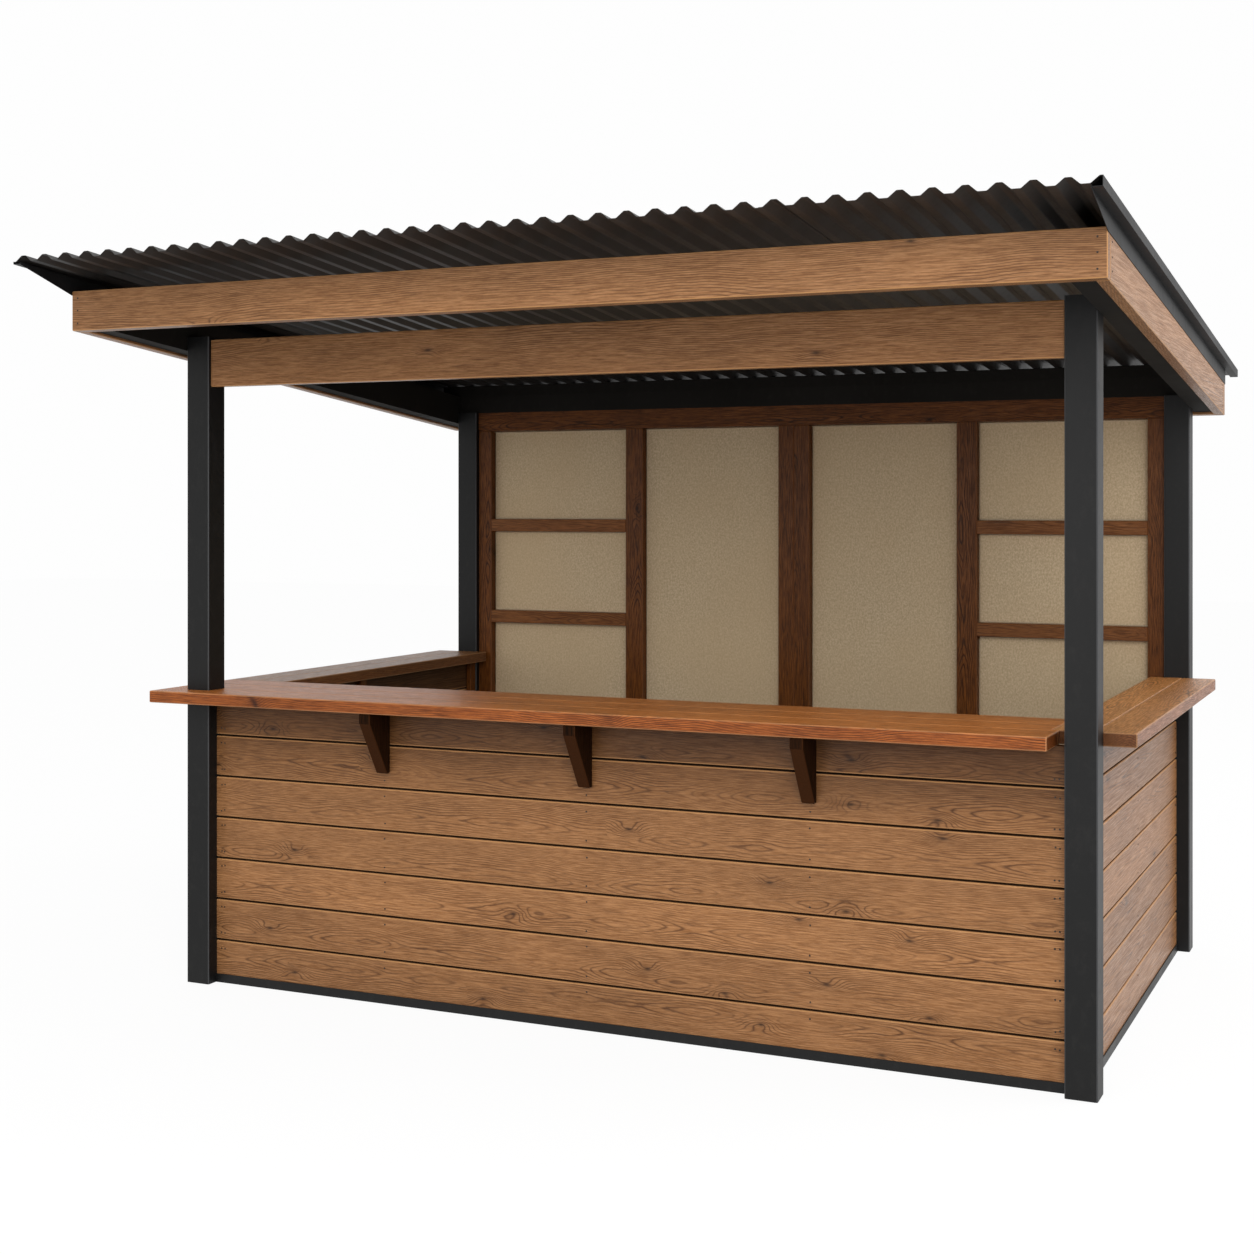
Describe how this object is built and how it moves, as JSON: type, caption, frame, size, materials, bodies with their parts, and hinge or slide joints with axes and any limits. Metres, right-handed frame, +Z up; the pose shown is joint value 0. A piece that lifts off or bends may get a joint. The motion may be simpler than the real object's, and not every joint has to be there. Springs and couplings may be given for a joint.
{
  "type": "market stall",
  "caption": "Free-standing market stall with steel posts, boarded low walls, a timber counter round three sides, a studded back wall and a sloping corrugated roof.",
  "frame": {"origin": "on the ground under the middle of the roof sheets' plan outline", "axes": "+X to the right as seen from the serving front, +Y from the serving front to the back wall, +Z up"},
  "size_m": [3.664, 3.15, 2.6453],
  "materials": {
    "black_steel": "satin black powder coat",
    "roof_steel": "satin black coated corrugated steel",
    "cladding_timber": "oiled light brown boards",
    "counter_timber": "satin red-brown oil",
    "dark_timber": "matt dark brown stain",
    "lining_board": "matt beige textured lining board"
  },
  "bodies": {
    "root": {"front_left_post": "black_steel", "front_right_post": "black_steel", "back_left_post": "black_steel", "back_right_post": "black_steel", "left_rafter": "black_steel", "right_rafter": "black_steel", "back_eaves_beam": "black_steel", "front_purlin": "black_steel", "back_purlin": "black_steel", "front_ground_channel": "black_steel", "left_ground_channel": "black_steel", "right_ground_channel": "black_steel", "back_ground_channel": "black_steel", "roof_sheet_1": "roof_steel", "roof_sheet_2": "roof_steel", "roof_sheet_3": "roof_steel", "roof_sheet_4": "roof_steel", "left_verge_flashing": "roof_steel", "right_verge_flashing": "roof_steel", "front_fascia": "cladding_timber", "back_fascia": "cladding_timber", "left_fascia": "cladding_timber", "right_fascia": "cladding_timber", "front_header": "cladding_timber", "front_cladding": "cladding_timber", "left_cladding": "cladding_timber", "right_cladding": "cladding_timber", "back_cladding": "cladding_timber", "front_counter": "counter_timber", "left_counter": "counter_timber", "right_counter": "counter_timber", "left_bracket": "dark_timber", "centre_bracket": "dark_timber", "right_bracket": "dark_timber", "front_wall_studs": "dark_timber", "left_wall_studs": "dark_timber", "right_wall_studs": "dark_timber", "back_top_plate": "dark_timber", "back_stud_left_end": "dark_timber", "back_stud_left": "dark_timber", "back_stud_centre_left": "dark_timber", "back_stud_centre_right": "dark_timber", "back_stud_right": "dark_timber", "back_stud_right_end": "dark_timber", "left_lower_shelf_rail": "dark_timber", "left_upper_shelf_rail": "dark_timber", "right_lower_shelf_rail": "dark_timber", "right_upper_shelf_rail": "dark_timber", "back_lining": "lining_board"}
  },
  "joints": []
}
